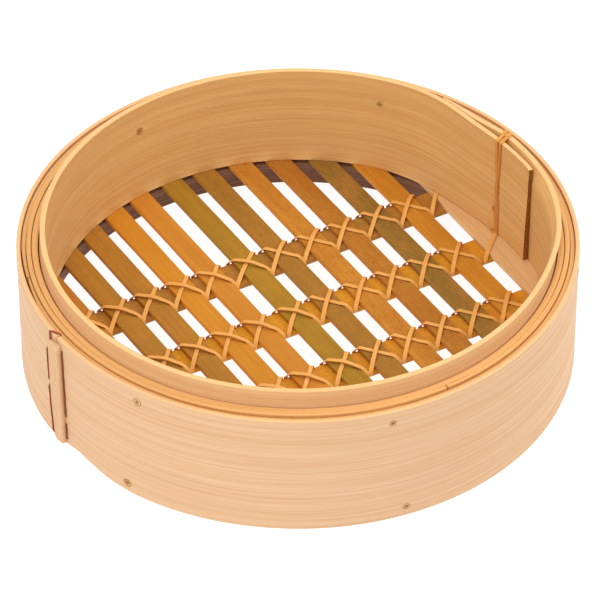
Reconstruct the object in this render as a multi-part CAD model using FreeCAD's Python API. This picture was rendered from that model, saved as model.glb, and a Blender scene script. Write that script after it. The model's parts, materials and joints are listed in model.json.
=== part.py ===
import FreeCAD, Part
import math
import os

from FreeCAD import Vector

# Round bamboo steamer tier: bent hoops pinned through, a slatted floor on three cross bars, cane lashings.
# Millimetres. +Z up, origin on the ground at the centre of the hoops, X along the cross bars, Y along the slats.

# Overall
OUTER_R = 127.0             # outside of the outer band
BAND_H = 62.0               # height of the outer band
LIP_H = 8.0                 # how far the inner hoop stands above the outer band
RECESS_DEPTH = 9.0          # room under the floor for the lip of the tier below

# Hoops, from the outside in
OUTER_PLY = 2.1
FILLER_PLIES = (2.2, 2.3, 3.0)
INNER_PLY = 2.8
PLY_GAP = 0.1               # between one hoop and the next
LIP_RELIEF = 0.65           # the lip is shaved thinner outside, so that the next tier slides on
RECESS_RELIEF = 0.9         # the wall below the floor is shaved wider inside, for the same reason
FILLER_DROP = (1.2, 0.0, 0.4)        # how far each filler hoop's top lies below the outer band's
FILLER_LIFT = 0.2           # how far the filler hoops stay off the ground
BUTT_GAP = 0.6              # between the two ends of one hoop
FILLER_JOINTS = (163.0, -88.0, 60.0)  # where each filler hoop's ends meet, in degrees
BASE_HOOP_JOINT = -100.0
BASE_HOOP_H = 5.7

# The inner hoop's ends lap: one runs straight across the inside, the other ends behind it
LAP_START = 24.0            # where the straight end leaves the circle, in degrees
LAP_FREE_END = -9.0
LAP_BACK_GAP = 1.4          # between the straight end and the end behind it, where that ends

# Floor
SLAT_COUNT = 13
SLAT_W = 11.0
SLAT_T = 2.5
SLAT_CHAMFER = 0.4
SLAT_LEAN = 1.2             # degrees that the slats lie off square to the bars
SIDE_SLAT_SHOWS = 14.6      # width of a side slat between its edge and the wall
SLAT_SHIFTS = (0.0, 0.16, 0.10, 0.0, -0.16, -0.38, -0.17, -0.23, -0.14, -0.20, -0.13, -0.22, 0.0)  # of a gap
BAR_Y = {"rear": 41.0, "middle": -0.3, "front": -42.3}
BAR_W = 16.0
BAR_T = 3.0
BAR_CHAMFER = 0.8
NOTCH_GAP = 0.2
SEAT_GAP = 0.25             # between the ends of slats and bars and the wall around them

# Cane
CANE_T = 0.5
CANE_W_SHARE = 0.30         # of a slat gap: two strands pass side by side in each
CANE_CLEAR = 0.12
SHARPEST_MITRE = 50.0       # a strand's outline is mitred for turns of up to twice this, in degrees
LEG_CLEAR = 0.4             # room for a strand to turn beside a bar
LOWER_CROWN_SHARE = 0.08    # of a strand's width: how far the lower strand arches over a slat
UPPER_CROWN = 2.2 * CANE_T  # the upper strand arches over the lower one
UPPER_WALL_LIFT = 0.25      # between the two strands where they start at the wall
DIP_SHARE = 0.66            # of a leg's distance from the bar's middle: how far the run under the bar is level
LASHING_END_RISE = 4.5      # how far along the wall from the bar's middle a lashing ends
LASHING_END_GAP = 1.7
BINDING_W = 1.9
BINDING_T = 0.42
BINDING_TURN = 1.0          # straight run beside each turn over the lip
BINDING_FOOT = 2.0          # between the floor and the foot of each strand
BINDING_CLEAR = 0.05        # between a strand and the outside of the lip
BINDING_STRANDS = ((3.9, 3.4), (6.1, 4.9))  # y on the inner face, and angle over the lip

# Cleat over the outer band's joint
CLEAT_ANGLE = 184.0
CLEAT_TILT = 1.5            # degrees that it leans off upright, its foot towards -Y
CLEAT_W = 9.5
CLEAT_T = 2.5
CLEAT_FOOT = 4.0            # how far the cleat stays off the ground
CLEAT_HEAD = 3.0            # how far its top end lies below the band's
CLEAT_CHAMFER = 0.5
STITCH_W = 1.2
STITCH_T = 0.5
STITCH_OFFSET = 0.65 * STITCH_W  # from the cleat's side to the middle of a stitch
LEFT_STITCHES = ((0.02, 0.47), (0.50, 0.81))   # from and to, as shares of the band's height
RIGHT_STITCHES = ((0.10, 0.25), (0.29, 0.93))
TOP_STITCH_FROM = 0.84

# Bamboo pins
PIN_R = 0.95
PIN_HOLE_GAP = 0.03
PIN_PROUD = 0.12
UPPER_PIN_Z = 55.5
LOWER_PIN_Z = 5.0
UPPER_PINS = (-153.2, -101.2, -38.0, 40.2, 100.7, 153.7)
LOWER_PINS = (-156.3, -98.0, -36.0, 37.0, 97.0, 156.0)

# Worked out from the above
AXIS = Vector(0, 0, 1)
OUTER_IN = OUTER_R - OUTER_PLY


def filler_radii():
    """(inner, outer) radius of each filler hoop, from the outside in."""
    radii = []
    outer = OUTER_IN - PLY_GAP
    for ply in FILLER_PLIES:
        radii.append((outer - ply, outer))
        outer -= ply + PLY_GAP
    return radii


FILLERS = filler_radii()
WALL_R = FILLERS[-1][0]                 # inside of the wall that the inner hoop stands in
HOOP_R = WALL_R - 0.5 * PLY_GAP         # outside of the inner hoop below its lip
LIP_R = HOOP_R - LIP_RELIEF
IN_R = LIP_R - INNER_PLY                # inside of the basket
BASE_TOP = RECESS_DEPTH + BASE_HOOP_H   # the slats lie on this
FLOOR_TOP = BASE_TOP + SLAT_T
TOP = BAND_H + LIP_H
SEAT_R = WALL_R - SEAT_GAP              # slats and bars end here
SIDE_X = IN_R - SIDE_SLAT_SHOWS         # inner edge of each side slat
FREE_SLATS = SLAT_COUNT - 2
SLAT_GAP = (2 * SIDE_X - FREE_SLATS * SLAT_W) / (FREE_SLATS + 1)
PITCH = SLAT_W + SLAT_GAP
CANE_W = CANE_W_SHARE * SLAT_GAP
LOWER_CROWN = LOWER_CROWN_SHARE * CANE_W
LEG_Y = 0.5 * BAR_W + LEG_CLEAR + 0.5 * CANE_T
LEAN = math.tan(math.radians(SLAT_LEAN))
CLEAT_TOP_ANGLE = CLEAT_ANGLE - math.degrees(0.5 * BAND_H * math.tan(math.radians(CLEAT_TILT)) / OUTER_R)


def polar(r, degrees, z=0.0):
    a = math.radians(degrees)
    return Vector(r * math.cos(a), r * math.sin(a), z)


def bent(r_in, r_out, z0, z1, start, sweep):
    """A rectangular strip bent round the axis, from an angle through a sweep."""
    corners = [polar(r_in, start, z0), polar(r_out, start, z0), polar(r_out, start, z1), polar(r_in, start, z1)]
    face = Part.Face(Part.makePolygon(corners + corners[:1]))
    return face.revolve(Vector(0, 0, 0), AXIS, sweep)


def hoop(r_in, r_out, z0, z1, joint):
    """A strip bent into a full hoop, its two ends a small gap apart at an angle."""
    half_gap = math.degrees(0.5 * BUTT_GAP / r_out)
    return bent(r_in, r_out, z0, z1, joint + half_gap, 360 - 2 * half_gap)


def peg(angle, z, r_in, r_out, radius):
    return Part.makeCylinder(radius, r_out - r_in, polar(r_in, angle, z), polar(1, angle))


def pin_holes():
    """Holes for both rows of pins, right through every hoop."""
    rows = ((UPPER_PINS, UPPER_PIN_Z), (LOWER_PINS, LOWER_PIN_Z))
    margin = 2 * INNER_PLY
    return [peg(a, z, IN_R - margin, OUTER_R + margin, PIN_R + PIN_HOLE_GAP) for row, z in rows for a in row]


def pins(angles, z, r_in):
    """One row of pins, as separate solids."""
    return Part.makeCompound([peg(a, z, r_in, OUTER_R + PIN_PROUD, PIN_R) for a in angles])


def outer_band():
    """The outer band, let down at its top edge where the cleat's top stitch crosses it."""
    band = hoop(OUTER_IN, OUTER_R, 0, BAND_H, CLEAT_ANGLE)
    half = 0.5 * CLEAT_W + 2 * STITCH_W
    start = CLEAT_TOP_ANGLE - math.degrees(half / OUTER_R)
    sweep = math.degrees(2 * half / OUTER_R)
    notch = bent(OUTER_IN - 1, OUTER_R + 1, BAND_H - STITCH_T, BAND_H + 1, start, sweep)
    return band.cut([notch] + pin_holes())


def filler_hoop(number):
    r_in, r_out = FILLERS[number]
    strip = hoop(r_in, r_out, FILLER_LIFT, BAND_H - FILLER_DROP[number], FILLER_JOINTS[number])
    cuts = pin_holes()
    if r_in == WALL_R:
        cuts.append(Part.makeCylinder(WALL_R + RECESS_RELIEF, RECESS_DEPTH))
    return strip.cut(cuts)


def lap_line():
    """The straight end's inner face: where it leaves the circle, its free end, and its outward normal."""
    start = polar(IN_R, LAP_START)
    end = polar(IN_R - INNER_PLY, LAP_FREE_END)
    along = (end - start).normalize()
    return start, end, along.cross(AXIS) * -1


def lap_back_end():
    """The angle where the end behind the straight one stops, just clear of it."""
    start, _, normal = lap_line()
    reach = start.dot(normal) + INNER_PLY
    turn = math.degrees(math.acos(reach / (IN_R - LAP_BACK_GAP)))
    return math.degrees(math.atan2(normal.y, normal.x)) + turn


def inner_hoop():
    """One strip whose ends lap. Its lip is shaved thinner outside, above the outer band."""
    start, end, normal = lap_line()
    across = normal * INNER_PLY
    back_end = lap_back_end() + 360
    halfway = 0.5 * (LAP_START + back_end)
    edges = [
        Part.Arc(polar(HOOP_R, LAP_START), polar(HOOP_R, halfway), polar(HOOP_R, back_end)).toShape(),
        Part.makeLine(polar(HOOP_R, back_end), polar(IN_R, back_end)),
        Part.Arc(polar(IN_R, back_end), polar(IN_R, halfway), start).toShape(),
        Part.makeLine(start, end),
        Part.makeLine(end, end + across),
        Part.makeLine(end + across, start + across),
        Part.makeLine(start + across, polar(HOOP_R, LAP_START)),
    ]
    strip = Part.Face(Part.Wire(edges)).extrude(AXIS * (TOP - FLOOR_TOP))
    strip.translate(AXIS * FLOOR_TOP)
    outside = Part.makeCylinder(OUTER_R, LIP_H + 1, Vector(0, 0, BAND_H))
    relief = outside.cut(Part.makeCylinder(LIP_R, LIP_H + 1, Vector(0, 0, BAND_H)))
    return strip.cut([relief] + pin_holes())


def cross_bar(y):
    """A flat bar along X with softened long edges, its ends cut to the circle that the slats end at."""
    half = 0.5 * BAR_W
    c = BAR_CHAMFER
    z0 = BASE_TOP - BAR_T
    profile = [(-half, z0 + c), (-half + c, z0), (half - c, z0), (half, z0 + c)]
    profile += [(half, BASE_TOP - c), (half - c, BASE_TOP), (-half + c, BASE_TOP), (-half, BASE_TOP - c)]
    points = [Vector(-SEAT_R, y + v, z) for v, z in profile]
    bar = Part.Face(Part.makePolygon(points + points[:1])).extrude(Vector(2 * SEAT_R, 0, 0))
    return bar.common(Part.makeCylinder(SEAT_R, BASE_TOP))


def base_hoop():
    """The hoop under the slats' ends, notched at its top edge for the bars."""
    strip = hoop(IN_R, HOOP_R, RECESS_DEPTH, BASE_TOP, BASE_HOOP_JOINT)
    notches = []
    for y in BAR_Y.values():
        corner = Vector(-OUTER_R, y - 0.5 * BAR_W - NOTCH_GAP, BASE_TOP - BAR_T - NOTCH_GAP)
        notches.append(Part.makeBox(2 * OUTER_R, BAR_W + 2 * NOTCH_GAP, BAR_T + 1, corner))
    return strip.cut(notches)


def slat_x(number, y):
    """The middle of a free slat at a given y. Numbers run from 0 at the -X side; 0 and the last are side slats."""
    nominal = (number - 0.5 * (SLAT_COUNT - 1)) * PITCH
    return nominal + SLAT_SHIFTS[number % len(SLAT_SHIFTS)] * SLAT_GAP - LEAN * y


def slat_edges(number, y):
    """(low x, high x) of a slat at a given y."""
    if number == 0:
        return -OUTER_R, -SIDE_X
    if number == SLAT_COUNT - 1:
        return SIDE_X, OUTER_R
    x = slat_x(number, y)
    return x - 0.5 * SLAT_W, x + 0.5 * SLAT_W


def slat(number):
    """A strip along Y with softened top edges, cut to the circle at its ends."""
    ends = []
    for y in (-OUTER_R, OUTER_R):
        low, high = slat_edges(number, y)
        c = SLAT_CHAMFER
        profile = [(low, BASE_TOP), (high, BASE_TOP), (high, FLOOR_TOP - c), (high - c, FLOOR_TOP)]
        profile += [(low + c, FLOOR_TOP), (low, FLOOR_TOP - c)]
        points = [Vector(x, y, z) for x, z in profile]
        ends.append(Part.makePolygon(points + points[:1]))
    strip = Part.makeLoft(ends, True, True)
    return strip.common(Part.makeCylinder(SEAT_R, TOP))


def ribbon(points, sides, width, thickness):
    """A flat strand through points, one solid. sides gives the direction of its width at each point."""
    sections = []
    last = len(points) - 1
    for k, point in enumerate(points):
        before = (points[k] - points[max(k - 1, 0)]).normalize() if k else None
        after = (points[min(k + 1, last)] - points[k]).normalize() if k < last else None
        before = before or after
        after = after or before
        along = (before + after).normalize()
        side = (sides[k] - along * sides[k].dot(along)).normalize()
        mitre = 1 / max(along.dot(before), math.cos(math.radians(SHARPEST_MITRE)))
        out = along.cross(side) * (0.5 * thickness * mitre)
        side = side * (0.5 * width)
        sections.append([point - side - out, point + side - out, point + side + out, point - side + out])
    faces = [Part.Face(Part.makePolygon(corners + corners[:1])) for corners in (sections[0], sections[-1])]
    for here, there in zip(sections, sections[1:]):
        for k in range(4):
            near_edge = Part.makeLine(here[k], here[(k + 1) % 4])
            far_edge = Part.makeLine(there[k], there[(k + 1) % 4])
            faces.append(Part.makeRuledSurface(near_edge, far_edge))
    shell = Part.makeShell(faces)
    shell.sewShape()
    return Part.makeSolid(shell)


def wall_x(y, side):
    """x of the wall's inner face at a given y, on the +X side (1) or the -X side (-1)."""
    start, end, _ = lap_line()
    if side > 0 and end.y < y < start.y:
        return start.x + (y - start.y) * (end.x - start.x) / (end.y - start.y)
    return side * math.sqrt(IN_R * IN_R - y * y)


def gap_middle(number, y):
    """(middle x, width) of the gap on the +X side of a slat, at a given y."""
    low = slat_edges(number, y)[1]
    high = slat_edges(number + 1, y)[0]
    return 0.5 * (low + high), high - low


def lashing_strand(bar_y, upper):
    """One strand of a lashing: over each slat at a slant, down the gap, back under the bar, and over the next.

    The lower strand slants one way, and the upper strand slants the other way and arches over it.
    """
    slant = -1 if upper else 1
    over_z = FLOOR_TOP + CANE_CLEAR + 0.5 * CANE_T
    crown_z = over_z + (UPPER_CROWN if upper else LOWER_CROWN)
    wall_z = over_z + (CANE_T + UPPER_WALL_LIFT if upper else 0.0)
    under_z = BASE_TOP - BAR_T - CANE_CLEAR - 0.5 * CANE_T
    dip_z = under_z - (CANE_T + CANE_CLEAR if upper else 0.0)
    side_x = Vector(1, 0, 0)
    over_side = Vector(1, -slant, 0)
    start_y = bar_y - slant * LASHING_END_RISE
    points = [Vector(wall_x(start_y, -1) + LASHING_END_GAP, start_y, wall_z)]
    sides = [over_side]
    for gap in range(SLAT_COUNT - 1):
        far_y = bar_y + slant * LEG_Y
        near_y = bar_y - slant * LEG_Y
        far_x, far_gap = gap_middle(gap, far_y)
        near_x, near_gap = gap_middle(gap, near_y)
        far = Vector(far_x - 0.25 * far_gap, far_y, over_z)
        near = Vector(near_x + 0.25 * near_gap, near_y, over_z)
        crown = (points[-1] + far) * 0.5
        points += [Vector(crown.x, crown.y, crown_z), far, Vector(far.x, far.y, under_z)]
        sides += [over_side, over_side, side_x]
        across = near - far
        for share in (0.5 - 0.5 * DIP_SHARE, 0.5 + 0.5 * DIP_SHARE):
            points.append(Vector(far.x + across.x * share, far.y + across.y * share, dip_z))
            sides.append(side_x)
        points += [Vector(near.x, near.y, under_z), near]
        sides += [side_x, over_side]
    end_y = bar_y + LASHING_END_RISE + (2 * CANE_W if upper else 0.0)
    end = Vector(wall_x(end_y, 1) - LASHING_END_GAP, end_y, over_z)
    crown = (points[-1] + end) * 0.5
    points += [Vector(crown.x, crown.y, over_z + LOWER_CROWN), end]
    sides += [over_side, over_side]
    return ribbon(points, sides, CANE_W, CANE_T)


def hoop_binding():
    """Two strands that tie the inner hoop's straight end to the layer behind it, over the lip."""
    strands = []
    over = TOP + CANE_CLEAR + 0.5 * BINDING_T
    out_r = LIP_R + BINDING_CLEAR + 0.5 * BINDING_T
    inward = Vector(0, 1, 0)
    for y, angle in BINDING_STRANDS:
        inside = wall_x(y, 1) - CANE_CLEAR - 0.5 * BINDING_T
        outward = polar(1, angle + 90)
        points = [Vector(inside, y, FLOOR_TOP + BINDING_FOOT), Vector(inside, y, over)]
        points += [Vector(inside + BINDING_TURN, y, over), polar(LIP_R - BINDING_TURN, angle, over)]
        points += [polar(out_r, angle, over), polar(out_r, angle, BAND_H + CANE_CLEAR)]
        sides = [inward, inward, inward, outward, outward, outward]
        strands.append(ribbon(points, sides, BINDING_W, BINDING_T))
    return Part.makeCompound(strands)


def on_the_joint(shape):
    """Leans a shape that stands upright at +X, fits its back to the band, and swings it round to the joint."""
    shape.rotate(Vector(OUTER_R, 0, 0.5 * BAND_H), Vector(1, 0, 0), CLEAT_TILT)
    shape = shape.cut(Part.makeCylinder(OUTER_R, BAND_H))
    shape.rotate(Vector(0, 0, 0), AXIS, CLEAT_ANGLE)
    return shape


def cleat():
    """The strip over the outer band's joint, hollowed behind to lie against the band."""
    half = 0.5 * CLEAT_W
    c = CLEAT_CHAMFER
    back = OUTER_R - 1
    front = OUTER_R + CLEAT_T
    profile = [(back, -half), (front - c, -half), (front, -half + c), (front, half - c), (front - c, half)]
    points = [Vector(x, y, CLEAT_FOOT) for x, y in profile + [(back, half)]]
    strip = Part.Face(Part.makePolygon(points + points[:1])).extrude(AXIS * (BAND_H - CLEAT_HEAD - CLEAT_FOOT))
    return on_the_joint(strip)


def cleat_stitching():
    """Stitches down both sides of the cleat, and one over the top edge of the band."""
    reach = 0.5 * CLEAT_W + STITCH_OFFSET
    stitches = []
    for side, runs in ((-1, LEFT_STITCHES), (1, RIGHT_STITCHES)):
        for low, high in runs:
            corner = Vector(OUTER_R - 1, side * reach - 0.5 * STITCH_W, low * BAND_H)
            stitches.append(on_the_joint(Part.makeBox(1 + STITCH_T, STITCH_W, (high - low) * BAND_H, corner)))
    half = math.degrees(0.5 * STITCH_W / OUTER_R)
    face_r = OUTER_R + STITCH_T
    left = CLEAT_TOP_ANGLE - math.degrees(reach / OUTER_R)
    right = CLEAT_TOP_ANGLE + math.degrees(reach / OUTER_R)
    leg = bent(OUTER_R, face_r, TOP_STITCH_FROM * BAND_H, BAND_H, left - half, 2 * half)
    outline = [polar(face_r, left - half), polar(face_r, left + half), polar(OUTER_IN + STITCH_W, right)]
    outline += [polar(OUTER_IN, right), polar(OUTER_R - STITCH_W, left - half)]
    crossing = Part.Face(Part.makePolygon(outline + outline[:1])).extrude(AXIS * STITCH_T)
    crossing.translate(AXIS * (BAND_H - STITCH_T))
    stitches.append(leg.fuse(crossing))
    return Part.makeCompound(stitches)


def build():
    nodes = {"outer_band": outer_band(), "inner_hoop": inner_hoop(), "base_hoop": base_hoop()}
    for number, place in enumerate(("outer", "middle", "inner")):
        nodes["filler_hoop_" + place] = filler_hoop(number)
    for number in range(SLAT_COUNT):
        nodes["slat_%02d" % (number + 1)] = slat(number)
    for place, y in BAR_Y.items():
        nodes["cross_bar_" + place] = cross_bar(y)
        nodes["lashing_%s_lower_strand" % place] = lashing_strand(y, False)
        nodes["lashing_%s_upper_strand" % place] = lashing_strand(y, True)
    nodes["hoop_binding"] = hoop_binding()
    nodes["joint_cleat"] = cleat()
    nodes["cleat_stitching"] = cleat_stitching()
    nodes["upper_pins"] = pins(UPPER_PINS, UPPER_PIN_Z, IN_R - PIN_PROUD)
    nodes["lower_pins"] = pins(LOWER_PINS, LOWER_PIN_Z, WALL_R + RECESS_RELIEF + PIN_PROUD)
    return nodes


os.makedirs("parts", exist_ok=True)
for name, shape in build().items():
    shape.exportStep("parts/%s.step" % name)
    print("%-32s solids %d  valid %s  volume %.0f" % (name, len(shape.Solids), shape.isValid(), shape.Volume))
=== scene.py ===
import json
import math

import bmesh
import bpy
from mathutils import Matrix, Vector, noise


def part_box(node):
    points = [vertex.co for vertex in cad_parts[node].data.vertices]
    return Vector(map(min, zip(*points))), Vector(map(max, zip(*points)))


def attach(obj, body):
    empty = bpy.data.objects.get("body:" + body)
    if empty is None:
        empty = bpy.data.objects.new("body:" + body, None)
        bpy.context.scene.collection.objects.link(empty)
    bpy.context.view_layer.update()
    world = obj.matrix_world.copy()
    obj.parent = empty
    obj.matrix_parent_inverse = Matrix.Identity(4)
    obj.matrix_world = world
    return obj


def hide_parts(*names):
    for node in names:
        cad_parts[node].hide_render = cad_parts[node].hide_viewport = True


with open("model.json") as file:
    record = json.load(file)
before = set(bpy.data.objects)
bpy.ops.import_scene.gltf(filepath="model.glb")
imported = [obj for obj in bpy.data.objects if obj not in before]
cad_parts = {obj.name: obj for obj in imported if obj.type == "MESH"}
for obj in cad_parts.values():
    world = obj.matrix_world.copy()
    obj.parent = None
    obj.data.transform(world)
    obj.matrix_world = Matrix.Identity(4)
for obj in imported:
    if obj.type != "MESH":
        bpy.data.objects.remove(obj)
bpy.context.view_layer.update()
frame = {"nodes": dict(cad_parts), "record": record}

# A bamboo steamer tier. Every hoop, slat, bar and cane strand is a real strip: made flat, then bent into place.
# Metres. +Z up, the hoops' axis on Z, slats along Y, cross bars along X.

MM = 0.001

# Read from the frame
OUTER_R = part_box("outer_band")[1].y
BAND_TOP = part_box("outer_band")[1].z
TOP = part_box("inner_hoop")[1].z
FLOOR_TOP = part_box("inner_hoop")[0].z
BASE_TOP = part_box("base_hoop")[1].z
HOOP_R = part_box("base_hoop")[1].y
FILLERS = ("filler_hoop_outer", "filler_hoop_middle", "filler_hoop_inner")
FILLER_OUT = [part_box(node)[1].y for node in FILLERS]
MOUNTS = {mount["name"]: mount["dims"] for mount in frame["record"]["mounts"]}
LIP_R = MOUNTS["stacking_lip"]["r_mm"] * MM
RECESS_R = MOUNTS["stacking_recess"]["r_mm"] * MM
RECESS_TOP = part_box("base_hoop")[0].z
SIDE_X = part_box("slat_13")[0].x

# The basket's own sizes
OUTER_PLY = 2.1 * MM
INNER_PLY = 2.8 * MM
PLY_GAP = 0.1 * MM
SEAT_R = HOOP_R - 0.2 * MM
IN_R = LIP_R - INNER_PLY
SLAT_W = 11.0 * MM
SLAT_LEAN = math.tan(math.radians(1.2))
FREE_SLATS = ["slat_%02d" % number for number in range(2, 13)]
BARS = ("rear", "middle", "front")
CANE_T = 0.5 * MM
CANE_W = 1.95 * MM


# ---- shared shapes ----

def eased(x, low, high):
    """0 below low, 1 above high, and a smooth rise between."""
    share = min(max((x - low) / (high - low), 0), 1)
    return share * share * (3 - 2 * share)


def through(points, x):
    """The height at x of a smooth line through (x, height) points, level past both ends."""
    if x <= points[0][0]:
        return points[0][1]
    for k in range(len(points) - 1):
        (x0, y0), (x1, y1) = points[k], points[k + 1]
        if x < x1:
            before = points[max(k - 1, 0)]
            after = points[min(k + 2, len(points) - 1)]
            slope0 = (y1 - before[1]) / (x1 - before[0]) * (x1 - x0)
            slope1 = (after[1] - y0) / (after[0] - x0) * (x1 - x0)
            t = (x - x0) / (x1 - x0)
            curve = (2 * t ** 3 - 3 * t ** 2 + 1) * y0 + (3 * t ** 2 - 2 * t ** 3) * y1
            return curve + (t ** 3 - 2 * t ** 2 + t) * slope0 + (t ** 3 - t ** 2) * slope1
    return points[-1][1]


def uneven(*place):
    """A smooth value between -1 and 1 that wanders with a place."""
    return noise.noise(Vector(place))


def polar(r, degrees, z=0.0):
    a = math.radians(degrees)
    return Vector((r * math.cos(a), r * math.sin(a), z))


def strip(length, thick, width, steps, rows, edge):
    """A straight strip: along X, thick along Y, wide along Z. steps divide its length, rows its width."""
    bm = bmesh.new()
    bmesh.ops.create_cube(bm, size=1)
    bmesh.ops.scale(bm, vec=(length, thick, width), verts=bm.verts)
    bmesh.ops.bevel(bm, geom=bm.edges[:], offset=edge, affect="EDGES", segments=2, profile=0.5, material=-1)
    inner = 0.5 * width - 1.6 * edge
    heights = [-inner + 2 * inner * k / rows for k in range(rows + 1)] if rows else []
    for height in heights:
        whole = bm.verts[:] + bm.edges[:] + bm.faces[:]
        bmesh.ops.bisect_plane(bm, geom=whole, plane_co=(0, 0, height), plane_no=(0, 0, 1))
    span = 0.5 * length
    for cuts in steps:
        long_edges = [e for e in bm.edges if abs(e.verts[0].co.x - e.verts[1].co.x) > span]
        bmesh.ops.subdivide_edges(bm, edges=long_edges, cuts=cuts - 1, use_grid_fill=True)
        span /= cuts
    return bm


def bent_piece(name, bm, place, rim, spare=0.0, slot_at=None):
    """Moves a flat strip's points into place, keeping where each lay on the flat strip for its grain.

    rim is the half width where the cut edges begin, spare sets apart the grain of pieces of one finish, and
    slot_at picks a face's finish from where its middle lay on the flat strip.
    """
    if slot_at:
        for face in bm.faces:
            face.material_index = slot_at(face.calc_center_median())
    fibre = bm.verts.layers.float_vector.new("fibre")
    cut_edge = bm.verts.layers.float.new("cut_edge")
    for v in bm.verts:
        s, t, w = v.co
        v[fibre] = Vector((s + spare, t + 0.37 * spare, w + 0.11 * spare))
        v[cut_edge] = 1.0 if abs(w) > rim else 0.0
        v.co = place(s, t, w)
    return finished(name, bm)


def placed(name, data):
    """A new object in the scene that shows some data."""
    made = bpy.data.objects.new(name, data)
    bpy.context.scene.collection.objects.link(made)
    return made


def finished(name, bm):
    """A smooth-shaded object from a closed bmesh, with its faces outwards."""
    bmesh.ops.recalc_face_normals(bm, faces=bm.faces)
    mesh = bpy.data.meshes.new(name)
    bm.to_mesh(mesh)
    bm.free()
    for polygon in mesh.polygons:
        polygon.use_smooth = True
    mesh.set_sharp_from_angle(angle=math.radians(50))
    return placed(name, mesh)


def stands_for(piece, finishes, slot, *nodes):
    """Gives a piece its finish, or several, and puts it in the place of CAD nodes."""
    for finish in finishes if isinstance(finishes, tuple) else (finishes,):
        piece.data.materials.append(finish)
    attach(piece, "root")
    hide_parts(*nodes)


def solids(node):
    """The separate solids of a CAD node, each as a list of its points."""
    bm = bmesh.new()
    bm.from_mesh(frame["nodes"][node].data)
    bmesh.ops.remove_doubles(bm, verts=bm.verts, dist=0.001 * MM)
    seen = set()
    found = []
    for start in bm.verts:
        if start in seen:
            continue
        seen.add(start)
        reached = [start]
        for v in reached:
            for e in v.link_edges:
                other = e.other_vert(v)
                if other not in seen:
                    seen.add(other)
                    reached.append(other)
        found.append([v.co.copy() for v in reached])
    bm.free()
    return found


# ---- finishes ----

def tone(red, green, blue):
    """A colour given as 0 to 255 display values, as linear light."""
    values = [c / 255 for c in (red, green, blue)]
    return tuple(c / 12.92 if c < 0.04045 else ((c + 0.055) / 1.055) ** 2.4 for c in values) + (1.0,)


def node_group(name, inputs, outputs):
    """An empty shader group with named sockets: (group, its input node, its output node)."""
    group = bpy.data.node_groups.new(name, "ShaderNodeTree")
    for socket, kind, value in inputs:
        made = group.interface.new_socket(socket, in_out="INPUT", socket_type=kind)
        if value is not None:
            made.default_value = value
    for socket, kind in outputs:
        group.interface.new_socket(socket, in_out="OUTPUT", socket_type=kind)
    return group, group.nodes.new("NodeGroupInput"), group.nodes.new("NodeGroupOutput")


def noise_node(tree, vector, stretch, detail, roughness=0.5):
    """A noise whose scale differs along, through and across the fibres."""
    scaled = tree.nodes.new("ShaderNodeVectorMath")
    scaled.operation = "MULTIPLY"
    scaled.inputs[1].default_value = stretch
    tree.links.new(vector, scaled.inputs[0])
    made = tree.nodes.new("ShaderNodeTexNoise")
    made.inputs["Scale"].default_value = 1.0
    made.inputs["Detail"].default_value = detail
    made.inputs["Roughness"].default_value = roughness
    tree.links.new(scaled.outputs[0], made.inputs["Vector"])
    return made.outputs["Fac"]


def ramp_node(tree, value, low, high):
    """Stretches low..high of a value to 0..1."""
    made = tree.nodes.new("ShaderNodeMapRange")
    made.interpolation_type = "SMOOTHSTEP"
    made.inputs["From Min"].default_value = low
    made.inputs["From Max"].default_value = high
    tree.links.new(value, made.inputs["Value"])
    return made.outputs["Result"]


def fibre_grain_group():
    """Bamboo's long fibres: hair-fine lines, streaks a millimetre wide, and slow bands."""
    group, given, put = node_group("fibre_grain", [("Fibre", "NodeSocketVector", None)],
                                   [("Hairs", "NodeSocketFloat"), ("Streaks", "NodeSocketFloat"),
                                    ("Bands", "NodeSocketFloat")])
    fibre = given.outputs["Fibre"]
    hairs = noise_node(group, fibre, (14, 3200, 3200), 3.0, 0.6)
    streaks = noise_node(group, fibre, (5, 760, 760), 3.0, 0.55)
    bands = noise_node(group, fibre, (4, 160, 160), 2.0)
    group.links.new(ramp_node(group, hairs, 0.3, 0.7), put.inputs["Hairs"])
    group.links.new(ramp_node(group, streaks, 0.32, 0.68), put.inputs["Streaks"])
    group.links.new(ramp_node(group, bands, 0.3, 0.7), put.inputs["Bands"])
    return group


def weather_group():
    """Stains that steam leaves: soft clouds, small blots and fine dark specks."""
    group, given, put = node_group("steam_stain", [("Fibre", "NodeSocketVector", None)],
                                   [("Clouds", "NodeSocketFloat"), ("Blots", "NodeSocketFloat"),
                                    ("Specks", "NodeSocketFloat")])
    fibre = given.outputs["Fibre"]
    clouds = noise_node(group, fibre, (30, 110, 110), 3.0, 0.6)
    blots = noise_node(group, fibre, (190, 420, 420), 4.0, 0.65)
    specks = noise_node(group, fibre, (620, 1500, 1500), 2.0, 0.5)
    group.links.new(ramp_node(group, clouds, 0.35, 0.66), put.inputs["Clouds"])
    group.links.new(ramp_node(group, blots, 0.46, 0.66), put.inputs["Blots"])
    group.links.new(ramp_node(group, specks, 0.53, 0.68), put.inputs["Specks"])
    return group


GRAIN = fibre_grain_group()
STAIN = weather_group()
EDGE_SHOWS = 0.85                # how far a cut edge takes its edge colour, which on the slats is painted light
HAIR_SHADE = (214, 186, 150)     # what a hair-fine line darkens white to
SPECK_DEPTH = 0.7                # how dark a speck is against its stain


def blend_node(tree, mode, factor, strength, under, over):
    """Lays one colour over another, where factor says and as strongly as strength says."""
    share = tree.nodes.new("ShaderNodeMath")
    share.operation = "MULTIPLY"
    tree.links.new(factor, share.inputs[0])
    share.inputs[1].default_value = strength
    made = tree.nodes.new("ShaderNodeMix")
    made.data_type = "RGBA"
    made.blend_type = mode
    tree.links.new(share.outputs[0], made.inputs["Factor"])
    for socket, colour in ((made.inputs["A"], under), (made.inputs["B"], over)):
        if isinstance(colour, tuple):
            socket.default_value = colour
        else:
            tree.links.new(colour, socket)
    return made.outputs["Result"]


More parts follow.
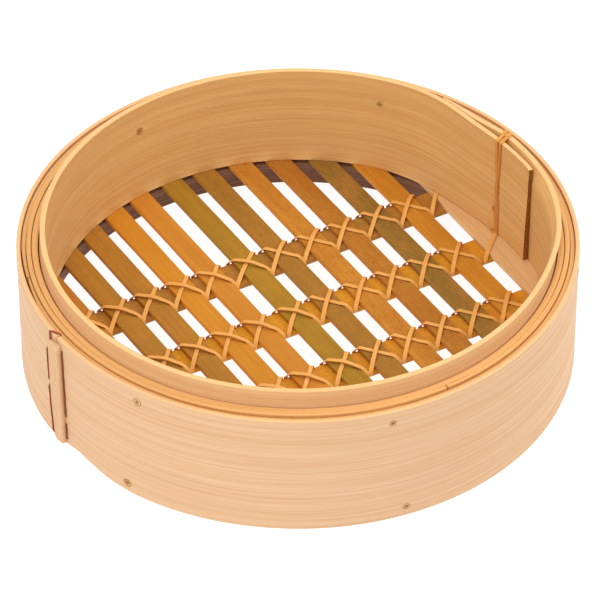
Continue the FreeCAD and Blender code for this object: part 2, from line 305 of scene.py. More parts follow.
def bamboo(name, body, streak, band, edge, stain=(90, 60, 25), streaky=0.6, banded=0.5, hairy=0.35, clouded=0.0,
           blotted=0.0, specked=0.0, roughness=0.5, shine=0.15, relief=0.12):
    """A split bamboo finish. body, streak, band and edge are its colours; the rest say how strong each mark is."""
    material = bpy.data.materials.new(name)
    material.use_nodes = True
    tree = material.node_tree
    shader = tree.nodes["Principled BSDF"]
    place = tree.nodes.new("ShaderNodeAttribute")
    place.attribute_name = "fibre"
    cut = tree.nodes.new("ShaderNodeAttribute")
    cut.attribute_name = "cut_edge"
    grain = tree.nodes.new("ShaderNodeGroup")
    grain.node_tree = GRAIN
    marks = tree.nodes.new("ShaderNodeGroup")
    marks.node_tree = STAIN
    for made in (grain, marks):
        tree.links.new(place.outputs["Vector"], made.inputs["Fibre"])
    colour = blend_node(tree, "MIX", grain.outputs["Bands"], banded, tone(*body), tone(*band))
    colour = blend_node(tree, "MIX", grain.outputs["Streaks"], streaky, colour, tone(*streak))
    colour = blend_node(tree, "MIX", cut.outputs["Fac"], EDGE_SHOWS, colour, tone(*edge))
    colour = blend_node(tree, "MULTIPLY", grain.outputs["Hairs"], hairy, colour, tone(*HAIR_SHADE))
    speck = tuple(SPECK_DEPTH * c for c in stain)
    for mark, strength, shade in (("Clouds", clouded, stain), ("Blots", blotted, stain),
                                  ("Specks", specked, speck)):
        if strength:
            colour = blend_node(tree, "MIX", marks.outputs[mark], strength, colour, tone(*shade))
    tree.links.new(colour, shader.inputs["Base Color"])
    gloss = tree.nodes.new("ShaderNodeMapRange")
    gloss.inputs["To Min"].default_value = roughness - 0.08
    gloss.inputs["To Max"].default_value = roughness + 0.12
    tree.links.new(grain.outputs["Streaks"], gloss.inputs["Value"])
    tree.links.new(gloss.outputs["Result"], shader.inputs["Roughness"])
    shader.inputs["Specular IOR Level"].default_value = shine
    height = tree.nodes.new("ShaderNodeMath")
    height.operation = "ADD"
    tree.links.new(grain.outputs["Hairs"], height.inputs[0])
    tree.links.new(grain.outputs["Streaks"], height.inputs[1])
    bump = tree.nodes.new("ShaderNodeBump")
    bump.inputs["Strength"].default_value = 0.6
    bump.inputs["Distance"].default_value = relief * MM
    tree.links.new(height.outputs[0], bump.inputs["Height"])
    tree.links.new(bump.outputs["Normal"], shader.inputs["Normal"])
    return material


SKIN = bamboo("bamboo_skin", (227, 187, 147), (212, 164, 118), (232, 195, 158), (242, 194, 138), streaky=0.5,
              banded=0.5, hairy=0.35, roughness=0.48, relief=0.08)
WALL = bamboo("bamboo_wall", (236, 190, 122), (221, 167, 98), (241, 199, 134), (246, 202, 142), streaky=0.5,
              banded=0.5, hairy=0.35, clouded=0.1, stain=(196, 142, 82), relief=0.12)
PLY = bamboo("bamboo_ply", (242, 190, 122), (214, 150, 84), (246, 198, 134), (236, 184, 118), streaky=0.65,
             banded=0.5, hairy=0.5, specked=0.1, stain=(180, 112, 56), roughness=0.6, relief=0.12)
# Painted shade: the wall below the floor and the base hoop, coloured dark for the shadow that falls under the
# floor
PAINTED_SHADE = bamboo("shade_painted_bamboo", (128, 90, 68), (106, 70, 52), (140, 100, 76), (134, 96, 72), hairy=0.3,
                roughness=0.6)
END_GRAIN = bamboo("end_grain", (158, 106, 50), (128, 80, 34), (172, 118, 60), (150, 100, 45), streaky=0.7,
                   hairy=0.6, roughness=0.7, relief=0.2)


# ---- hoops ----

HOOP_STEPS = (20, 20)
EDGE = 0.14 * MM
JOINT_GAP = 0.3 * MM             # half of the gap between a hoop's two ends
FILLER_JOINT_ANGLES = (163.0, -88.0, 60.0)
CRACK_ANGLE = 274
CLEAT_ANGLE = 183.6


def out_of_round(angle):
    """No hoop is a true circle: how far the whole wall lies inside one, the same for every hoop."""
    return -0.11 * MM * (1 + uneven(2.2 * math.cos(math.radians(angle)), 2.2 * math.sin(math.radians(angle)), 4.0))


def ridge(seed, angle, z):
    """The raised fibres on a hoop's face."""
    a = math.radians(angle)
    fine = uneven(1.5 * math.cos(a) + seed, 1.5 * math.sin(a), 640 * z)
    broad = uneven(1.1 * math.cos(a) + seed, 1.1 * math.sin(a), 150 * z)
    return 0.035 * MM * fine + 0.05 * MM * broad


def top_wear(seed, angle):
    """How far a hand-planed top edge lies below its highest place."""
    a = math.radians(angle)
    slow = uneven(2.5 * math.cos(a), 2.5 * math.sin(a), seed)
    quick = uneven(14 * math.cos(a), 14 * math.sin(a), seed)
    return 0.14 * MM * (1 - slow) * 0.5 + 0.04 * MM * (1 + quick)


# Beside the outer band's joint the lower edges are worn up. How far, in millimetres, by angle
WORN_FOOT = ((176, 0.0), (182, 1.4), (186, 3.4), (190, 4.5), (194, 3.2), (199, 1.2), (206, 0.0))


def full_hoop(name, r_in, r_out, z0, z1, joint, rows, seed, gap_in=None, gap_out=None, notch=None, edge=EDGE,
              slot_at=None):
    """A strip bent into a hoop, its ends a little apart at the joint's angle.

    gap_in and gap_out give, in metres, how far its inner and outer face draw back at an angle and a height, and
    notch gives how far its upper edge is cut down at a place.
    """
    thick, width, middle = r_out - r_in, z1 - z0, 0.5 * (r_in + r_out)
    half_gap = math.degrees(JOINT_GAP / r_out)
    sweep = 360 - 2 * half_gap
    length = math.radians(sweep) * middle

    def place(s, t, w):
        turn = (s / length + 0.5) * sweep
        angle = joint + half_gap + turn
        z = 0.5 * (z0 + z1) + w
        up = (z - z0) / width
        side = t / (0.5 * thick)
        r = middle + t + out_of_round(angle)
        r += (ridge(seed, angle, z) - 0.09 * MM) * side
        if gap_out and side > 0:
            r -= gap_out(angle % 360, z) * side
        if gap_in and side < 0:
            r -= gap_in(angle % 360, z) * side
        z -= top_wear(seed, angle) * up ** 6
        if z0 < 1.0 * MM:
            z += through(WORN_FOOT, angle % 360) * MM * max(1 - 3 * up, 0) ** 1.5
        here = polar(r, angle, z)
        if notch:
            here.z -= notch(here) * max(up, 0)
        return here

    bm = strip(length, thick, width, HOOP_STEPS, rows, edge)
    return bent_piece(name, bm, place, 0.5 * width - 1.2 * edge, spare=seed, slot_at=slot_at)


def sprung(angle, z):
    """Where the first filler hoop's ends spring away from the outer band, with a step at its joint."""
    depth = 1.05 if angle > FILLER_JOINT_ANGLES[0] else 0.6
    near = 1 - min(abs(angle - FILLER_JOINT_ANGLES[0]) / 10, 1)
    return depth * MM * near ** 0.6 * eased(z, 0.3 * BAND_TOP, BAND_TOP)


def crack(angle, z):
    """A short opening between two fillers at the front."""
    near = 1 - min(abs(angle - CRACK_ANGLE) / 5, 1)
    return 0.35 * MM * near ** 0.7 * eased(z, 0.5 * BAND_TOP, BAND_TOP)


def recess(angle, z):
    """Below the floor the wall is shaved wider, for the lip of the tier below."""
    return (RECESS_R - HOOP_R - 0.5 * PLY_GAP) * (1 - eased(z, RECESS_TOP - 0.5 * MM, RECESS_TOP + 0.5 * MM))


band = full_hoop("outer_band_strip", OUTER_R - OUTER_PLY, OUTER_R, 0.0, BAND_TOP, CLEAT_ANGLE, 46, 1.0)
stands_for(band, SKIN, "bamboo_skin", "outer_band")

for number, node in enumerate(FILLERS):
    inner = FILLER_OUT[number + 1] + PLY_GAP if number < 2 else HOOP_R + 0.5 * PLY_GAP
    low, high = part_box(node)
    gap_in = (None, crack, recess)[number]
    gap_out = (sprung, None, None)[number]
    shaded_below = RECESS_TOP - 0.5 * (low.z + high.z)

    # Painted shade: below the recess top, the inner filler's inner face takes the dark painted-shade finish, for
    # the shadow under the floor
    def slot_at(middle_of_face):
        return 1 if gap_in is recess and middle_of_face.y < 0 and middle_of_face.z < shaded_below else 0

    piece = full_hoop(node + "_strip", inner, FILLER_OUT[number], low.z, high.z, FILLER_JOINT_ANGLES[number], 14,
                      3.0 + number, gap_in, gap_out, edge=0.22 * MM, slot_at=slot_at)
    stands_for(piece, (PLY, PAINTED_SHADE), "bamboo_inner", node)


# The inner hoop's ends lap at +X: one runs straight across the inside, the other ends behind it.
# Radii of the straight end's inner face, in millimetres, by angle, at its foot and at its top
LAP_FOOT = ((-9, 110.9), (1, 109.2), (11, 108.0), (20, 109.0), (30, 111.6), (40, 113.6))
LAP_TOP = ((-9, 112.0), (0, 110.2), (10, 109.0), (16, 109.8), (24, 112.1), (31, 113.4), (38, 113.6))
FREE_END, BACK_STOP, LAP_BEGINS = -10.3, 384.0, 42.0
BACK_BENDS = (362, 378)          # between these angles the end behind comes in to the straight one
BACK_THINS = 374
LAP_CLEAR = 0.15 * MM            # between the two ends
SEAM = 0.3 * MM                  # between the hoop's back and the wall
# How far the lip leans out over the wall, in millimetres, by angle
LIP_LEAN = ((290, 0.0), (312, 0.7), (328, 2.4), (342, 3.0), (352, 2.4), (363, 1.4), (373, 0.3))


def lap_inside(angle, z):
    """Radius of the straight end's inner face."""
    share = eased(z, FLOOR_TOP, TOP)
    return MM * (through(LAP_FOOT, angle) * (1 - share) + through(LAP_TOP, angle) * share)


def lip_lean(angle, z):
    """How far the hoop leans out over the wall: not at all below the band's top, and more and more above it."""
    return 1.55 * MM * through(LIP_LEAN, angle) * eased(z, BAND_TOP - 1.0 * MM, TOP + 6.0 * MM)


def lap_depth(angle, z):
    """How thick the straight end is, from 0 to 1: thinner towards its free end and shaved along the lip."""
    return (0.82 + 0.18 * eased(angle, FREE_END, 18)) * lip_depth(z)


def lip_depth(z):
    """How thick the hoop is, from 0 to 1: its outside is shaved along the lip."""
    shaved = eased(z, BAND_TOP - 0.4 * MM, BAND_TOP + 0.4 * MM)
    return 1 - shaved * (HOOP_R - LIP_R) / (HOOP_R - IN_R)


def inner_hoop_strip():
    middle = IN_R + 0.5 * INNER_PLY
    thick, width = HOOP_R - IN_R - SEAM, TOP - FLOOR_TOP
    sweep = BACK_STOP - FREE_END
    length = math.radians(sweep) * middle

    def place(s, t, w):
        angle = FREE_END + (s / length + 0.5) * sweep
        z = 0.5 * (FLOOR_TOP + TOP) + w
        outward = t + 0.5 * thick
        if angle < LAP_BEGINS:
            r_in = lap_inside(angle, z)
            outward *= lap_depth(angle, z)
            z += 0.3 * MM * eased(30 - angle, 0, 10) * eased(-w, 0, 0.5 * width)
        else:
            # The end behind thins out, and bends in until it lies against the straight end
            meets = IN_R
            if angle > 360:
                meets = lap_inside(angle - 360, z) + thick * lap_depth(angle - 360, z) + LAP_CLEAR
            share = eased(angle, *BACK_BENDS)
            r_in = (IN_R + lip_lean(angle, z)) * (1 - share) + meets * share
            outward *= lip_depth(z) * (1 - 0.6 * eased(angle, BACK_THINS, BACK_STOP))
        face = ridge(7.0, angle, z) - 0.08 * MM
        r = r_in + out_of_round(angle) + outward + face * t / (0.5 * thick)
        up = (z - FLOOR_TOP) / width
        z -= top_wear(8.0, angle) * up ** 6
        return polar(r, angle, z)

    def slot_at(middle_of_face):
        if abs(middle_of_face.x) > 0.5 * length - 0.2 * MM:
            return 2
        return 1 if middle_of_face.y > 0.2 * thick else 0

    bm = strip(length, thick, width, (21, 20), 40, 0.2 * MM)
    return bent_piece("inner_hoop_strip", bm, place, 0.5 * width - 0.25 * MM, spare=9.0, slot_at=slot_at)


LIP_SKIN = bamboo("lip_skin", (231, 184, 134), (220, 164, 108), (236, 192, 142), (246, 196, 136), streaky=0.4,
                  banded=0.5, hairy=0.3, relief=0.08)
stands_for(inner_hoop_strip(), (WALL, LIP_SKIN, END_GRAIN), "bamboo_inner", "inner_hoop")


def frayed_fibres():
    """Torn fibres that stand off the free end of the inner hoop."""
    for number in range(7):
        z = (57.5 + 1.15 * number) * MM
        lift = 1.0 + 0.8 * uneven(number, 3.3, 0.1)
        root = polar(lap_inside(FREE_END + 0.5, z) + 0.9 * MM, FREE_END + 0.25, z)
        out = Vector((0.25 * uneven(number, 1.7, 0), -lift, 0.9 * uneven(number, 5.1, 0.4))) * MM
        points = [root, root + 0.6 * out, root + out + Vector((-0.3 * MM, 0, 0.5 * MM))]
        piece = cane_strand("frayed_fibre_%d" % (number + 1), points, [Vector((0, 0, 1))] * 3, 0.5 * MM, 0.22 * MM,
                            (4,), 90.0 + number)
        stands_for(piece, END_GRAIN, "bamboo_inner", "inner_hoop")


# ---- floor ----

def slat_finish(name, body, mark, clouded=0.35, blotted=0.25, specked=0.35):
    """A slat's own tone: body is its colour and mark the stain on it. Its cut sides take a lighter tone, which is
    painted light.
    """
    light = tuple(min(255, 1.08 * c) for c in body)
    dark = tuple(0.88 * c for c in body)
    # The lighter tone is the colour of the grain bands and, on the cut sides, painted light against the shade in
    # the gaps
    return bamboo(name, body, dark, light, light, stain=mark, streaky=0.3, banded=0.4, hairy=0.25, clouded=clouded,
                  blotted=blotted, specked=specked, roughness=0.45, shine=0.06, relief=0.06)


OLIVE, RUST = (126, 96, 40), (166, 98, 34)
# Each free slat's colour, its stain's colour and how mottled it is, from -X to +X
SLAT_TONES = (
    ((190, 128, 50), RUST, 0.25), ((182, 126, 50), OLIVE, 0.3), ((180, 122, 48), OLIVE, 0.3),
    ((206, 138, 46), RUST, 0.15), ((202, 134, 50), RUST, 0.15), ((170, 126, 42), OLIVE, 0.3),
    ((172, 118, 48), OLIVE, 0.5), ((202, 136, 52), RUST, 0.7), ((186, 124, 50), RUST, 1.0),
    ((166, 118, 54), OLIVE, 1.0), ((202, 134, 44), RUST, 0.3),
)
SIDE_FINISH = bamboo("side_slat", (226, 180, 124), (206, 154, 98), (232, 190, 138), (232, 188, 134), streaky=0.4,
                     hairy=0.3, clouded=0.15, stain=(170, 118, 66), relief=0.08)


def free_slat(node, seed):
    """A slat with a softly crowned top, slightly bowed and never quite one width, its ends cut to the wall."""
    low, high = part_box(node)
    x_mid = 0.5 * (low.x + high.x)
    thick = FLOOR_TOP - BASE_TOP

    def place(s, t, w):
        along = s / SEAT_R
        wide = 1 - 0.02 * (1 + uneven(3 * along, seed, 0.5))
        side = w / (0.5 * SLAT_W)
        y = along * math.sqrt(SEAT_R ** 2 - x_mid ** 2)
        x = x_mid - SLAT_LEAN * y + w * wide + 0.12 * MM * uneven(2.2 * along, seed, 8.1)
        y = along * math.sqrt(SEAT_R ** 2 - x ** 2)
        z = BASE_TOP + 0.5 * thick + t
        top = max(t, 0) / (0.5 * thick)
        z -= top * (0.16 * MM * side * side + 0.05 * MM * (1 + uneven(5 * along, 2 * side, seed)))
        return Vector((x, y, z))

    bm = strip(2 * SEAT_R, thick, SLAT_W, (12, 8), 8, 0.4 * MM)
    return bent_piece(node + "_strip", bm, place, 0.5 * SLAT_W - 0.1 * MM, spare=seed)


def side_slat(node, seed):
    """The slat against the wall: straight inside, cut to the wall's curve outside."""
    side = 1 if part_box(node)[0].x > 0 else -1
    inner, outer = SIDE_X, SEAT_R
    reach = math.sqrt(SEAT_R ** 2 - SIDE_X ** 2)
    thick = FLOOR_TOP - BASE_TOP

    def place(s, t, w):
        wall = math.sqrt(SEAT_R ** 2 - min(abs(s), reach - 0.01 * MM) ** 2)
        share = (w + 0.5 * (outer - inner)) / (outer - inner)
        x = inner + (wall - inner) * share
        return Vector((side * x, s, BASE_TOP + 0.5 * thick + t - 0.05 * MM))

    bm = strip(2 * reach, thick, outer - inner, (10, 6), 8, 0.35 * MM)
    return bent_piece(node + "_strip", bm, place, 0.5 * (outer - inner) - 0.1 * MM, spare=seed)


for number, node in enumerate(FREE_SLATS):
    body, mark, mottled = SLAT_TONES[number]
    finish = slat_finish(node + "_finish", body, mark, 0.4 * mottled + 0.1, 0.5 * mottled, 0.35 * mottled)
    stands_for(free_slat(node, 11.0 + number), finish, "bamboo_slat", node)
for number, node in enumerate(("slat_01", "slat_13")):
    stands_for(side_slat(node, 31.0 + number), SIDE_FINISH, "bamboo_inner", node)


def cross_bar(place_name, seed):
    """A flat bar under the slats, its ends cut to the wall."""
    node = "cross_bar_" + place_name
    low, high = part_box(node)
    y_mid, wide, thick = 0.5 * (low.y + high.y), high.y - low.y, high.z - low.z

    def place(s, t, w):
        limit = math.sqrt(SEAT_R ** 2 - (abs(y_mid + w)) ** 2)
        x = max(-limit, min(limit, s))
        wear = max(t, 0) / (0.5 * thick) * 0.04 * MM * (1 + uneven(60 * s, 300 * w, seed))
        z = 0.5 * (low.z + high.z) + t - wear
        return Vector((x, y_mid + w, z))

    bm = strip(high.x - low.x, thick, wide, (12, 8), 8, 0.7 * MM)
    return bent_piece(node + "_strip", bm, place, 0.5 * wide + MM, spare=seed)


BAR_TONES = {"rear": ((184, 124, 54), OLIVE), "middle": ((218, 148, 42), RUST), "front": ((216, 144, 44), RUST)}
for number, place_name in enumerate(BARS):
    body, mark = BAR_TONES[place_name]
    finish = slat_finish("cross_bar_%s_finish" % place_name, body, mark, clouded=0.2, blotted=0.15, specked=0.2)
    stands_for(cross_bar(place_name, 41.0 + number), finish, "bamboo_slat", "cross_bar_" + place_name)


def bar_notch(here):
    """How far the base hoop's upper edge is cut down for the bars."""
    for place_name in BARS:
        low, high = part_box("cross_bar_" + place_name)
        if low.y - 0.9 * MM < here.y < high.y + 0.9 * MM:
            return high.z - low.z + 0.2 * MM
    return 0.0


# Painted shade: the base hoop takes the dark painted-shade finish, for the shadow under the floor
base_hoop = full_hoop("base_hoop_strip", IN_R, HOOP_R, RECESS_TOP, BASE_TOP, -100.0, 4, 44.0, notch=bar_notch)
stands_for(base_hoop, PAINTED_SHADE, "bamboo_inner", "base_hoop")


# ---- cane ----

CANE = bamboo("split_cane", (234, 172, 92), (216, 150, 72), (240, 184, 108), (236, 176, 98), streaky=0.5,
              banded=0.5, hairy=0.3, roughness=0.45, relief=0.05)
BINDING_CANE = bamboo("binding_cane", (220, 152, 70), (196, 126, 48), (228, 164, 84), (210, 140, 60), streaky=0.5,
                      hairy=0.3, roughness=0.45, relief=0.05)
DYED_CANE = bamboo("dyed_cane", (150, 76, 48), (112, 48, 28), (168, 92, 60), (140, 70, 44), streaky=0.7,
                   hairy=0.4, roughness=0.6, relief=0.1)


def smoothed(points, share):
    """A place on the smooth line through points, share running from 0 to 1 along them."""
    last = len(points) - 1
    at = min(max(share, 0), 1) * last
    k = min(int(at), last - 1)
    t = at - k
    a, b, c, d = (points[min(max(k + step, 0), last)] for step in (-1, 0, 1, 2))
    return 0.5 * (2 * b + t * (c - a) + t * t * (2 * a - 5 * b + 4 * c - d) + t ** 3 * (3 * b - 3 * c + d - a))


def cane_strand(name, points, sides, width, thick, steps, seed):
    """A flat split cane along a smooth line through points; sides gives the direction of its width at each."""
    length = sum((b - a).length for a, b in zip(points, points[1:]))
    count = len(points) - 1

    def place(s, t, w):
        share = s / length + 0.5
        here = smoothed(points, share)
        along = (smoothed(points, share + 0.2 / count) - smoothed(points, share - 0.2 / count)).normalized()
        side = smoothed(sides, share)
        side = (side - along * side.dot(along)).normalized()
        out = side.cross(along)
        round_face = 1 - 0.35 * (2 * w / width) ** 2
        return here + side * w * (1 + 0.06 * uneven(90 * s, seed, 0)) + out * t * round_face

    bm = strip(length, thick, width, steps, 2, 0.28 * thick)
    return bent_piece(name, bm, place, 0.42 * width, spare=seed)


def slat_sides(node, y):
    """(low x, high x) of a slat's top at a given y."""
    low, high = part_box(node)
    if node == "slat_01":
        return -IN_R, high.x
    if node == "slat_13":
        return low.x, IN_R
    x = 0.5 * (low.x + high.x) - SLAT_LEAN * y
    return x - 0.5 * SLAT_W, x + 0.5 * SLAT_W


ALL_SLATS = ["slat_01"] + FREE_SLATS + ["slat_13"]
# Where each strand goes down, as a share of its gap: (lower front, lower rear, upper rear, upper front)
TUCKS = {"rear": (0.05, 0.05, 0.95, 0.05), "middle": (0.6, 0.08, 0.95, 0.1), "front": (0.55, 0.08, 0.95, 0.1)}
LEG_Y = 8.32 * MM           # from a bar's middle to where its strands go down and come up
START_Y = 4.5 * MM          # from a bar's middle to where a strand leaves the wall at -X
# From a bar's middle to where its lower strand meets the wall at +X
END_Y = {"rear": 2.0 * MM, "middle": 3.6 * MM, "front": 3.6 * MM}
SWAP = 7                    # from this gap on, towards +X, the strands cross the other way over
CANE_CLEAR = 0.12 * MM
OVER_Z = FLOOR_TOP + CANE_CLEAR + 0.5 * CANE_T
UNDER_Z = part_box("cross_bar_middle")[0].z - CANE_CLEAR - 0.5 * CANE_T


def lashing(place_name, upper, seed):
    """One strand of a lashing: over each slat at a slant, down the gap, back under the bar, and up again."""
    bar_low, bar_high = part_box("cross_bar_" + place_name)
    bar_y = 0.5 * (bar_low.y + bar_high.y)
    tucks = TUCKS[place_name]
    slant = -1 if upper else 1
    rise_share, fall_share = (tucks[2], tucks[3]) if upper else (tucks[0], tucks[1])
    across, over = Vector((1, 0, 0)), Vector((1, -slant, 0)).normalized()
    start_y = bar_y - slant * START_Y
    wall_x = -math.sqrt(IN_R ** 2 - start_y ** 2)
    points = [Vector((wall_x + 0.3 * MM, start_y - slant * 1.2 * MM, FLOOR_TOP - 0.7 * MM)),
              Vector((wall_x + 1.3 * MM, start_y, OVER_Z + 0.2 * MM))]
    sides = [over, over]
    for gap in range(len(ALL_SLATS) - 1):
        down_y, up_y = bar_y + slant * LEG_Y, bar_y - slant * LEG_Y
        ends = []
        for y, share in ((down_y, fall_share), (up_y, rise_share)):
            low = slat_sides(ALL_SLATS[gap], y)[1]
            high = slat_sides(ALL_SLATS[gap + 1], y)[0]
            margin = 0.55 * CANE_W
            ends.append(low + margin + (high - low - 2 * margin) * share)
        down_x, up_x = ends
        slack = 0.12 * MM * uneven(gap, seed, 0.3)
        rise, fall = points[-1].copy(), Vector((down_x, down_y, 0))
        on_top = upper == (gap < SWAP)
        arch = 3.2 * CANE_T if on_top else 0.3 * CANE_T
        # The strand runs straight over the slat, and arches between the slat's two edges
        first = (slat_sides(ALL_SLATS[gap], rise.y)[0] - rise.x) / (down_x - rise.x) if gap else 0.06
        last = (slat_sides(ALL_SLATS[gap], down_y)[1] - rise.x) / (down_x - rise.x)
        for share, height in ((0.02, 0.0), (0.22, 0.55), (0.5, 1.0), (0.78, 0.55), (0.98, 0.0)):
            spot = rise.lerp(fall, first + (last - first) * share)
            points.append(Vector((spot.x, spot.y, OVER_Z + height * (arch + slack))))
            sides.append(over)
        points += [Vector((down_x, down_y, BASE_TOP + 0.2 * MM)),
                   Vector((down_x, down_y + slant * 0.05 * MM, 0.5 * (BASE_TOP + UNDER_Z)))]
        sides += [across, across]
        dip = UNDER_Z - (CANE_T + 0.1 * MM if upper else 0.0)
        for share in (0.14, 0.5, 0.86):
            points.append(Vector((down_x + (up_x - down_x) * share, down_y + (up_y - down_y) * share, dip)))
            sides.append(across)
        points += [Vector((up_x, up_y - slant * 0.05 * MM, 0.5 * (BASE_TOP + UNDER_Z))),
                   Vector((up_x, up_y, BASE_TOP + 0.2 * MM))]
        sides += [across, across]
    end_y = bar_y + END_Y[place_name]
    end_x = lap_inside(math.degrees(math.asin(end_y / IN_R)), FLOOR_TOP) if end_y > 0 else IN_R
    end_x = math.sqrt(end_x ** 2 - end_y ** 2)
    if upper:
        # The last end stays under the floor, and runs along the bar to the wall
        del points[-2:], sides[-2:]
        points.append(Vector((end_x - 1.7 * MM, bar_y + slant * 4.0 * MM, UNDER_Z - 0.1 * MM)))
        sides.append(across)
    else:
        end = Vector((end_x - 0.5 * MM, end_y, OVER_Z))
        corner, crown = points[-1].lerp(end, 0.22), points[-1].lerp(end, 0.55)
        sides += [over]
        points += [Vector((corner.x, corner.y, OVER_Z)), Vector((crown.x, crown.y, OVER_Z + 0.2 * MM)), end,
                   Vector((end_x + 0.2 * MM, end_y + 1.0 * MM, FLOOR_TOP - 0.6 * MM))]
        sides += [over, over, over]
    kind = "upper" if upper else "lower"
    name = "lashing_%s_%s_strand" % (place_name, kind)
    piece = cane_strand(name + "_cane", points, sides, CANE_W, CANE_T, (20, 24), seed)
    stands_for(piece, CANE, "cane", name)


for number, place_name in enumerate(BARS):
    lashing(place_name, False, 51.0 + number)
    lashing(place_name, True, 61.0 + number)


frayed_fibres()

# The binding: two strands up the wall and over the lip. (height, y) of each inside, in millimetres
BINDING_W, BINDING_T = 1.9 * MM, 0.42 * MM
BINDING = (((17.6, 3.2), (30, 3.3), (44, 4.5), (56, 4.0), (66, 3.9), (70, 3.9)),
           ((17.6, 4.1), (30, 4.7), (44, 4.2), (56, 5.7), (66, 6.1), (70, 6.1)))
BINDING_OVER = (3.4, 4.9)   # angle of each on the outside of the lip
BINDING_HEIGHTS = (17.6, 22, 30, 38, 44, 50, 56, 62, 66, 69.2)
CROSSING = 44               # height at which the first strand passes over the other


def binding_place(y, z, off):
    """A place on the inside of the lapped wall, off from its face."""
    angle = math.degrees(math.asin(y * MM / IN_R))
    return polar(lap_inside(angle, z * MM) + out_of_round(angle) - off, angle, z * MM)


def hoop_binding():
    """Two strands that cross on their way up, a stub at the foot, and a curl of loose cane."""
    for number, run in enumerate(BINDING):
        points = []
        for z in BINDING_HEIGHTS:
            crossing = (1 - min(abs(z - CROSSING) / 7, 1)) * (1 - number)
            points.append(binding_place(through(run, z), z, 0.3 * MM + crossing * BINDING_T))
        sides = [Vector((0, 1, 0))] * len(points)
        angle = BINDING_OVER[number]
        over = TOP + 0.02 * MM + 0.5 * BINDING_T
        inner = points[-1] + Vector((0.5 * MM, 0, 0))
        outer = polar(LIP_R + lip_lean(360 + angle, TOP) - 0.3 * MM, angle)
        points += [Vector((inner.x, inner.y, over)), Vector((outer.x, outer.y, over)).lerp(inner, 0.5)]
        points[-1].z = over
        points.append(Vector((outer.x, outer.y, over - 0.05 * MM)))
        for z in (TOP - 1.2 * MM, BAND_TOP + 2.0 * MM, BAND_TOP - 1.0 * MM):
            points.append(polar(LIP_R + lip_lean(360 + angle, z) + 0.28 * MM, angle, z))
        sides += [Vector((0, 1, 0))] * (len(points) - len(sides))
        piece = cane_strand("hoop_binding_strand_%d" % (number + 1), points, sides, BINDING_W, BINDING_T, (12, 12),
                            71.0 + number)
        stands_for(piece, BINDING_CANE, "cane", "hoop_binding")
    stub = [binding_place(y, z, off * MM) for y, z, off in ((3.4, 18.0, 0.5), (5.2, 17.9, 1.0), (7.6, 17.8, 0.6))]
    curl = [binding_place(5.9 + 1.1 * math.cos(turn), 31 + 1.3 * math.sin(turn), (0.35 + 0.12 * turn) * MM)
            for turn in (-1.2, 0.0, 1.2, 2.4, 3.6, 4.8)]
    for label, points, width in (("stub", stub, 1.0 * MM), ("curl", curl, 0.7 * MM)):
        piece = cane_strand("hoop_binding_" + label, points, [Vector((0, 0.3, 1))] * len(points), width, 0.35 * MM,
                            (12,), 75.0)
        stands_for(piece, BINDING_CANE, "cane", "hoop_binding")


hoop_binding()


# ---- cleat and its stitches ----

CLEAT_W = 8.6 * MM
CLEAT_OUT = 2.5 * MM        # how far it stands out from the band
CLEAT_TILT = math.tan(math.radians(1.5))
CLEAT_CUT = 0.35            # how much of its half width is cut away at the foot, on one side
STITCH_W = 0.95 * MM
STITCH_T = 0.5 * MM
STITCH_POINTS = 15


def on_the_joint(out, aside, z):
    """A place out from the hoops' axis and aside from the leaning cleat's middle."""
    turn = math.radians(CLEAT_ANGLE)
    y = aside + (0.5 * BAND_TOP - z) * CLEAT_TILT
    return Vector((out * math.cos(turn) - y * math.sin(turn), out * math.sin(turn) + y * math.cos(turn), z))


def band_face(aside, z):
    """How far out the band's face lies beside the cleat's middle."""
    return math.sqrt(OUTER_R ** 2 - (aside + (0.5 * BAND_TOP - z) * CLEAT_TILT) ** 2)


def cleat():
    """A split strip with its rounded side out, its back fitted to the band and its top end worn round."""
    low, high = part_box("joint_cleat")
    height = high.z - low.z

    def place(s, t, w):
        side = w / (0.5 * CLEAT_W)
        up = s / height + 0.5
        head = eased(up, 0.8, 1.0)
        z = low.z + up * height + head * (0.9 * side - 0.3 - 0.5 * side ** 4) * MM
        back = band_face(w, z) - 0.2 * MM
        front = OUTER_R + CLEAT_OUT - 0.5 * MM * side * side - 0.06 * MM * (1 + uneven(6 * up, side, 2.2))
        front -= 0.9 * MM * eased(up, 0.94, 1.0)
        x = back + (front - back) * (t / CLEAT_OUT + 0.5)
        y = w * (0.985 + 0.012 * uneven(4 * up, 1.2, 0))
        if w < 0:
            y *= 1 - CLEAT_CUT * eased(1 - up, 0.55, 1.0)
        return on_the_joint(x, y, z)

    bm = strip(height, CLEAT_OUT, CLEAT_W, (20, 3), 10, 0.35 * MM)
    return bent_piece("joint_cleat_strip", bm, place, 0.5 * CLEAT_W - 0.1 * MM, spare=81.0)


CLEAT_SKIN = bamboo("cleat_skin", (226, 184, 142), (214, 166, 120), (232, 192, 154), (228, 184, 138), streaky=0.4,
                    banded=0.5, hairy=0.35, specked=0.2, stain=(190, 130, 80), relief=0.1)
stands_for(cleat(), CLEAT_SKIN, "bamboo_skin", "joint_cleat")

# Each stitch: the side of the cleat, -1 towards smaller angles, and its two ends as shares of the band's height
STITCHES = ((-1, 0.08, 0.53), (-1, 0.56, 0.87), (1, 0.10, 0.25), (1, 0.29, 0.93))


